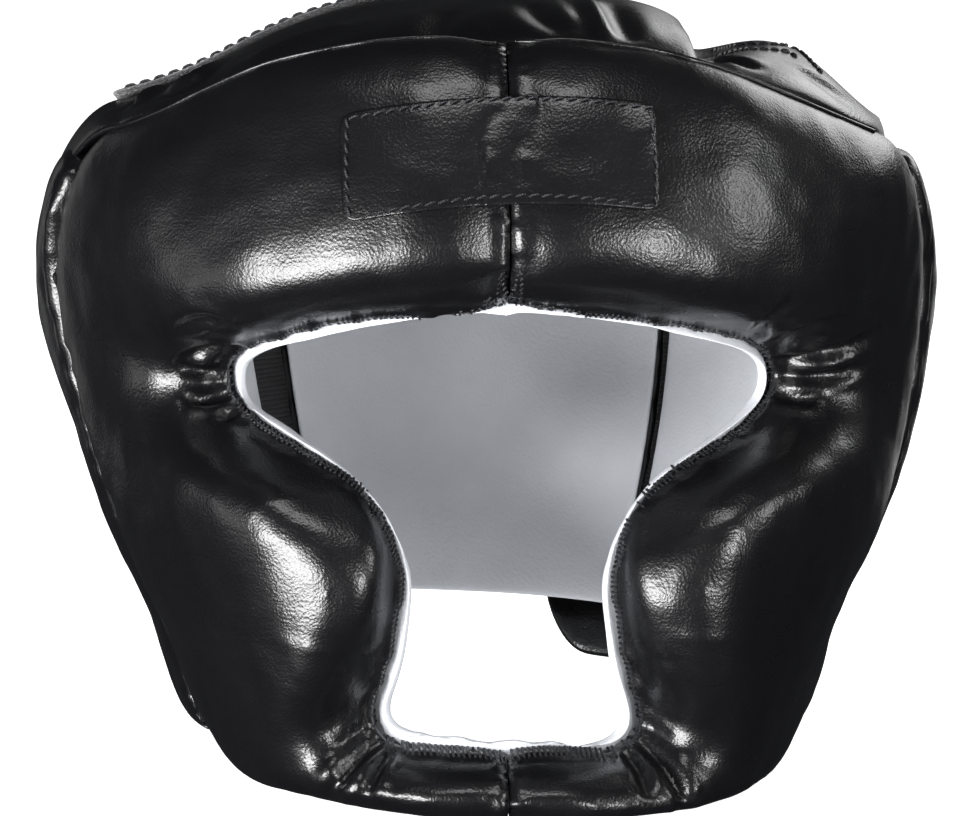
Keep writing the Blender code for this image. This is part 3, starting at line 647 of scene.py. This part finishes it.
def evenly(line, pitch):
    """Places along a line, a pitch apart, and the directions there."""
    line = np.array(line)
    lengths = np.concatenate([[0], np.cumsum(np.linalg.norm(np.diff(line, axis=0), axis=1))])
    marks = np.arange(pitch / 2, lengths[-1], pitch)
    places = np.array([[np.interp(m, lengths, line[:, k]) for k in range(3)] for m in marks])
    ahead = np.array([[np.interp(m + 0.0004, lengths, line[:, k]) for k in range(3)] for m in marks])
    behind = np.array([[np.interp(m - 0.0004, lengths, line[:, k]) for k in range(3)] for m in marks])
    way = ahead - behind
    return places, way / np.maximum(np.linalg.norm(way, axis=1, keepdims=True), 1e-9)


def settled_on(tree, place, lift):
    """A place laid on a surface at a lift, with the surface's direction there."""
    spot, normal = tree.find_nearest(Vector(place))[:2]
    return np.array(spot + normal * lift), np.array(normal)


def stitch_row(line, tree, pitch=STITCH_PITCH, share=0.72, slant=0.10, lift=0.0002):
    """Lockstitches along a line on a surface: each dips into the leather at both ends."""
    runs = []
    places, ways = evenly(line, pitch)
    for place, way in zip(places, ways):
        spot, normal = settled_on(tree, place, 0.0)
        aside = np.cross(normal, way)
        half = pitch * share / 2
        run = []
        for t in (-1.0, -0.6, 0.0, 0.6, 1.0):
            rise = lift + 0.00026 * (1 - t * t) - 0.00035 * (abs(t) > 0.9)
            run.append(settled_on(tree, spot + way * half * t + aside * slant * half * t, rise)[0])
        runs.append(run)
    return runs


PATCH_BEND = 0.007           # the label bridges the centre seam over this distance


def lay_label(piece, tree):
    """Lay the label on the pads as they are now, flat over the seam's groove."""
    places, outward = points_of(piece)

    def pad_face(x, z):
        hit = tree.ray_cast(Vector((x, -0.3, z)), Vector((0, 1, 0)))[0]
        return hit.y if hit is not None else 0.0

    laid = []
    for x, y, z in places:
        faces = [pad_face(x + share * PATCH_BEND, z) for share in (-1, -0.5, 0, 0.5, 1)]
        laid.append(min((faces[0] + faces[4]) / 2, (faces[1] + faces[3]) / 2, faces[2]))
    laid = np.array(laid)
    places[:, 1] = laid - 0.0002 - 0.0009 * (1 - outward[:, 1])
    curl = np.clip((places[:, 0] - 0.024) / 0.010, 0, 1) * np.clip((places[:, 2] - 0.158) / 0.010, 0, 1)
    places[:, 1] -= curl * curl * 0.0022
    move_points(piece, places)


PATCH = flat_piece("forehead_patch", "forehead_label", 3, LEATHER, "synthetic_leather_black")
lay_label(PATCH, surface(*FRONT))


def label_border(tree):
    """Line of the label's stitches, a little inside its edge."""
    edge = []
    for pixels in (((347, 119), (420, 106), (500, 99), (580, 100), (650, 108)),
                   ((650, 108), (656, 160), (656, 206)),
                   ((656, 206), (580, 197), (500, 196), (420, 205), (349, 220)),
                   ((349, 220), (346, 170), (347, 119))):
        edge.append(on_pieces(pixels, tree, 24))
    return edge


label_surface = surface(PATCH)
runs = []
for line in label_border(label_surface):
    runs += stitch_row(line, label_surface, pitch=0.0031, slant=0.25)
threads("label_stitches", runs, THREAD_RADIUS * 0.8)

STRIP = flat_piece("crown_strip", "crown_loop_strip", 2, PILE, "loop_strip_black")
GUSSETS = [flat_piece("gusset_left", "gusset_left_elastic", 2, ELASTIC, "elastic_black"),
           flat_piece("gusset_right", "gusset_right_elastic", 2, ELASTIC, "elastic_black")]
# How many times wider each band is than the gap that it fills, and how far it goes up under the crown
ELASTIC_WIDER = (1.55, 4.3)
ELASTIC_RISE = 0.005


def widen_elastic(piece, wider):
    """Reach under the pads' edges at both sides, where the elastic is sewn in."""
    places = points_of(piece)[0]
    turns = np.arctan2(places[:, 0], places[:, 1])
    reach = np.hypot(places[:, 0], places[:, 1])
    middle = (turns.max() + turns.min()) / 2
    turns = middle + (turns - middle) * wider
    top, foot = places[:, 2].max(), places[:, 2].min()
    places[:, 2] += ELASTIC_RISE * (places[:, 2] - foot) / (top - foot)
    places[:, 0] = reach * np.sin(turns)
    places[:, 1] = reach * np.cos(turns)
    move_points(piece, places)


for piece, wider in zip(GUSSETS, ELASTIC_WIDER):
    widen_elastic(piece, wider)
FACE_LINING = flat_piece("face_lining", "face_lining_sheet", 2, LINING, "leatherette_off_white")
flat_piece("back_lining", "back_lining_sheet", 2, LINING, "leatherette_off_white")
for side, wide, area in (("left", 0.104, 0.0128), ("right", 0.113, 0.0145)):
    flat_piece("side_lining_" + side, "side_lining_%s_sheet" % side, 2, LINING,
               "leatherette_off_white")


# Overlocked edge of the lining round the face opening
OPENING_MIDDLE = (-0.0006, 0.0975)   # x and z of a point that sees the whole opening


def lip_loop(piece, steps=360):
    """Free edge of the lining round the face opening, as a loop of points."""
    places = points_of(piece)[0]
    aside = places[:, 0] - OPENING_MIDDLE[0]
    above = places[:, 2] - OPENING_MIDDLE[1]
    turns = np.arctan2(above, aside)
    reach = np.hypot(aside, above)
    loop = []
    for k in range(steps):
        turn = -math.pi + 2 * math.pi * k / steps
        gap = np.abs((turns - turn + math.pi) % (2 * math.pi) - math.pi)
        near = np.flatnonzero(gap < math.radians(1.6))
        loop.append(places[near[np.argmin(reach[near])]])
    loop = np.array(loop)
    for _ in range(3):
        loop = (np.roll(loop, 1, axis=0) + 2 * loop + np.roll(loop, -1, axis=0)) / 4
    return loop


# How far the lining's free edge stands past the pads, at turns round the opening in degrees: most at the
# chin's corners and at the outer corners of the eyes.
LIP_REACH = ((-180, -0.0004), (-150, -0.0022), (-125, -0.0022), (-112, -0.0004), (-104, 0.0012), (-90, -0.0002),
             (-76, 0.0012), (-68, -0.0004), (-55, -0.0022), (-30, -0.0022), (0, -0.0010), (30, -0.0020),
             (90, -0.0022), (150, -0.0020), (180, -0.0004))


def gather_lip(piece, loop):
    """Set the lip's width round the opening, and gather it in small soft scallops."""
    places, outward = points_of(piece)
    closed = np.vstack([loop, loop[:1]])
    distance, along = distance_to_line(places, closed)
    length = np.linalg.norm(np.diff(closed, axis=0), axis=1).sum()
    turns = np.degrees(np.arctan2(places[:, 2] - OPENING_MIDDLE[1], places[:, 0] - OPENING_MIDDLE[0]))
    reach = np.interp(turns, [row[0] for row in LIP_REACH], [row[1] for row in LIP_REACH])
    wide = np.clip((reach + 0.0012) / 0.0024, 0, 1)
    scallop = np.array([noise.noise(Vector((a * length / 0.0075, 3.1, 0.4))) for a in along])
    slow = np.array([noise.noise(Vector((a * length / 0.022, 8.1, 5.4))) for a in along])
    middle = np.array([OPENING_MIDDLE[0], 0.0, OPENING_MIDDLE[1]])
    inward = middle - places
    inward[:, 1] = 0.0
    inward /= np.maximum(np.linalg.norm(inward, axis=1, keepdims=True), 1e-9)
    fade = np.exp(-(distance / 0.0038) ** 2)
    step = reach + wide * (scallop * 0.0022 + slow * 0.0012) + slow * 0.0003
    places += inward * (step * fade)[:, None]
    places += outward * (scallop * (0.0002 + 0.0010 * wide) * fade)[:, None]
    move_points(piece, places)


opening_edge = lip_loop(FACE_LINING)
gather_lip(FACE_LINING, opening_edge)


def overlock(loop, pads, lining, pitch=0.00135):
    """Close stitches over the pads' edge where the lining leaves them, which give it a toothed edge."""
    places, ways = evenly(np.vstack([loop, loop[:1]]), pitch)
    middle = np.array([OPENING_MIDDLE[0], 0.0, OPENING_MIDDLE[1]])
    both = surface(FACE_LINING, *FRONT)
    runs = []
    for place, way in zip(places, ways):
        away = place - middle
        away[1] = 0.0
        away -= way * (away @ way)
        away /= max(np.linalg.norm(away), 1e-9)
        for step in range(40):
            spot = place + away * 0.0002 * step
            start = Vector((spot[0], -0.3, spot[2]))
            pad = pads.ray_cast(start, Vector((0, 1, 0)))[0]
            white = lining.ray_cast(start, Vector((0, 1, 0)))[0]
            if pad is not None and (white is None or pad.y < white.y):
                break
        else:
            continue
        run = []
        for share, reach in ((0.0, -0.0006), (0.12, 0.0), (0.24, 0.0007)):
            near = spot + away * reach + way * share * pitch
            hit = both.ray_cast(Vector((near[0], -0.3, near[2])), Vector((0, 1, 0)))
            if hit[0] is not None:
                run.append(np.array(hit[0] + hit[1] * 0.0001))
        if len(run) == 3:
            runs.append(run)
    return runs


threads("opening_overlock", overlock(opening_edge, surface(*FRONT), surface(FACE_LINING)), 0.00034)

# Piping in the seams between the front and the side pads
def seam_line(first, second, reach=0.0026):
    """Outer line along which two pads meet, from the solids."""
    places = np.array([v.co for v in NODES[first].data.vertices])
    tree = surface(NODES[second])
    close = distance_to(tree, places, reach) < reach * 0.98
    places = places[close]
    line = []
    for low in np.arange(places[:, 2].min(), places[:, 2].max(), 0.006):
        band = places[(places[:, 2] >= low) & (places[:, 2] < low + 0.006)]
        if len(band):
            line.append(band[np.argmax(np.hypot(band[:, 0], band[:, 1]))])
    line = np.array(line)
    for _ in range(2):
        line[1:-1] = (line[:-2] + 2 * line[1:-1] + line[2:]) / 4
    return smooth_line(line, 80)


for side in ("left", "right"):
    line = seam_line("front_pad_" + side, "side_pad_" + side)
    tree = surface(PADS["front_pad_" + side], PADS["side_pad_" + side])
    laid = np.array([settled_on(tree, place, 0.0003)[0] for place in line])
    for _ in range(4):
        laid[1:-1] = (laid[:-2] + 2 * laid[1:-1] + laid[2:]) / 4
    threads("side_piping_" + side, [laid], 0.0010, LEATHER)

# Welt along the front pads' upper edge
def upper_edge(piece, first, last, step=7):
    """The piece's upper edge against the crown, as seen in the picture from one column to another."""
    pad = surface(piece)
    crown = surface(*CROWN)
    line = []
    for px in range(first, last, step):
        for py in range(10, 200, 2):
            start, ray = sight(px, py)
            near = pad.ray_cast(start, ray)
            cover = crown.ray_cast(start, ray)
            if near[0] is not None and (cover[0] is None or near[3] < cover[3]):
                line.append(np.array(near[0] + near[1] * 0.0002))
                break
    line = np.array(line)
    for _ in range(6):
        line[1:-1] = (line[:-2] + 2 * line[1:-1] + line[2:]) / 4
    return line


threads("brow_welt", [upper_edge(FRONT[0], 118, 500), upper_edge(FRONT[1], 516, 880)], 0.0007, LEATHER)

# Rows of stitches where the crown is sewn to the pads and along the loop strip's edges
def rim_row(piece, above, first, last):
    """Row of stitches a little above the crown's lower rim, between two turns behind the ears."""
    tree = surface(piece)
    places = points_of(piece)[0]
    turns = np.degrees(np.arctan2(places[:, 0], places[:, 1]))
    line = []
    for turn in np.arange(first, last, 2.0):
        near = np.abs(turns - turn) < 3
        if not near.any():
            continue
        height = places[near, 2].min() + above
        out = Vector((math.sin(math.radians(turn)), math.cos(math.radians(turn)), 0.0))
        hit = tree.ray_cast(Vector((0, 0, height)) + out * 0.3, -out)[0]
        if hit is not None:
            line.append(np.array(hit))
    line = np.array(line)
    for _ in range(4):
        line[1:-1] = (line[:-2] + 2 * line[1:-1] + line[2:]) / 4
    return stitch_row(line, tree)


def strip_rows(piece, inset):
    """Rows of stitches along the loop strip's two long edges."""
    tree = surface(piece)
    places = points_of(piece)[0]
    runs = []
    for y in (places[:, 1].min() + inset, places[:, 1].max() - inset):
        line = []
        for x in np.arange(places[:, 0].min() + inset, places[:, 0].max() - inset, 0.004):
            hit = tree.ray_cast(Vector((x, y, 0.4)), Vector((0, 0, -1)))[0]
            if hit is not None:
                line.append(np.array(hit))
        runs += stitch_row(line, tree)
    return runs


threads("crown_rim_stitches", rim_row(CROWN[0], 0.0035, -84, 40) + rim_row(CROWN[1], 0.0035, 20, 84),
        THREAD_RADIUS)
threads("strip_stitches", strip_rows(STRIP, 0.0030), THREAD_RADIUS, slot_name="loop_strip_black")

# Sewn edges of the right flap
right_flap = surface(CROWN[1])
runs = []
for line in (((711, 52), (745, 45), (785, 46), (802, 54), (822, 74)),
             ((714, 58), (745, 50), (782, 51), (797, 58))):
    runs += stitch_row(on_pieces(line, right_flap, 40), right_flap, pitch=0.0030)
threads("crown_flap_stitches", runs, THREAD_RADIUS)


# Studio
def soft_light(name, turn, rise, size, power):
    """Soft box at a turn from straight ahead and a rise, in degrees, facing the guard."""
    data = bpy.data.lights.new(name, "AREA")
    data.shape = "RECTANGLE"
    data.size, data.size_y = size
    data.energy = power
    light = bpy.data.objects.new(name, data)
    turn = math.radians(turn)
    rise = math.radians(rise)
    away = Vector((math.sin(turn) * math.cos(rise), -math.cos(turn) * math.cos(rise), math.sin(rise)))
    light.location = Vector((0, -0.02, 0.10)) + away * 0.95
    light.rotation_euler = (-away).to_track_quat("-Z", "Y").to_euler()
    light.visible_camera = False
    bpy.context.scene.collection.objects.link(light)
    return light


def studio():
    """Pale floor, pale room and soft lights."""
    take(NODES["back_pad"])
    bpy.ops.mesh.primitive_plane_add(size=12.0, location=(0, 0, -0.0006))
    floor = bpy.context.active_object
    floor.name = "studio_floor"
    paint, tree, shader, coords = new_finish("studio_floor_white")
    mottle = add(tree, "ShaderNodeTexNoise", values={"Scale": 3.0}, links={"Vector": coords})
    two_tone(tree, shader, mottle.outputs["Fac"], "#fafafa", "#ffffff")
    shader.inputs["Roughness"].default_value = 0.9
    shader.inputs["Emission Color"].default_value = (1, 1, 1, 1)
    shader.inputs["Emission Strength"].default_value = 1.0
    floor.data.materials.append(paint)
    floor.visible_glossy = False
    floor.visible_shadow = False
    soft_light("low_left", -40, -5, (0.56, 0.28), 15.0)
    soft_light("left_side", -84, -6, (0.24, 0.24), 0.35)
    soft_light("front_right", 31, 3, (0.10, 0.28), 3.6)
    soft_light("cheek_right", 64, 22, (0.20, 0.30), 1.7)
    soft_light("upper_right", 132, 28, (0.44, 0.42), 2.3)
    soft_light("behind_right", 156, 27, (0.30, 0.30), 0.6)
    soft_light("above_front", 2, 60, (0.50, 0.20), 2.2)
    soft_light("left_edge", -142, 4, (0.16, 0.60), 0.15)
    soft_light("right_edge", 152, 4, (0.16, 0.60), 0.3)
    inside = soft_light("through_the_opening", -31, 13, (0.11, 0.11), 5.6)
    inside.visible_glossy = False
    room = bpy.data.worlds.new("studio_room")
    bpy.context.scene.world = room
    room.use_nodes = True
    tree = room.node_tree
    for old in list(tree.nodes):
        tree.nodes.remove(old)
    path = add(tree, "ShaderNodeLightPath")
    glossy = add(tree, "ShaderNodeBackground", values={"Color": linear("#e8ebf2"), "Strength": 0.03})
    diffuse = add(tree, "ShaderNodeBackground", values={"Color": linear("#f2f4f8"), "Strength": 0.45})
    seen = add(tree, "ShaderNodeBackground", values={"Color": (1, 1, 1, 1), "Strength": 1.0})
    inner = add(tree, "ShaderNodeMixShader", links={0: path.outputs["Is Glossy Ray"], 1: diffuse.outputs[0],
                                                    2: glossy.outputs[0]})
    mix = add(tree, "ShaderNodeMixShader", links={0: path.outputs["Is Camera Ray"], 1: inner.outputs[0],
                                                  2: seen.outputs[0]})
    add(tree, "ShaderNodeOutputWorld", links={"Surface": mix.outputs[0]})
    bpy.context.scene.view_settings.view_transform = "Standard"


studio()
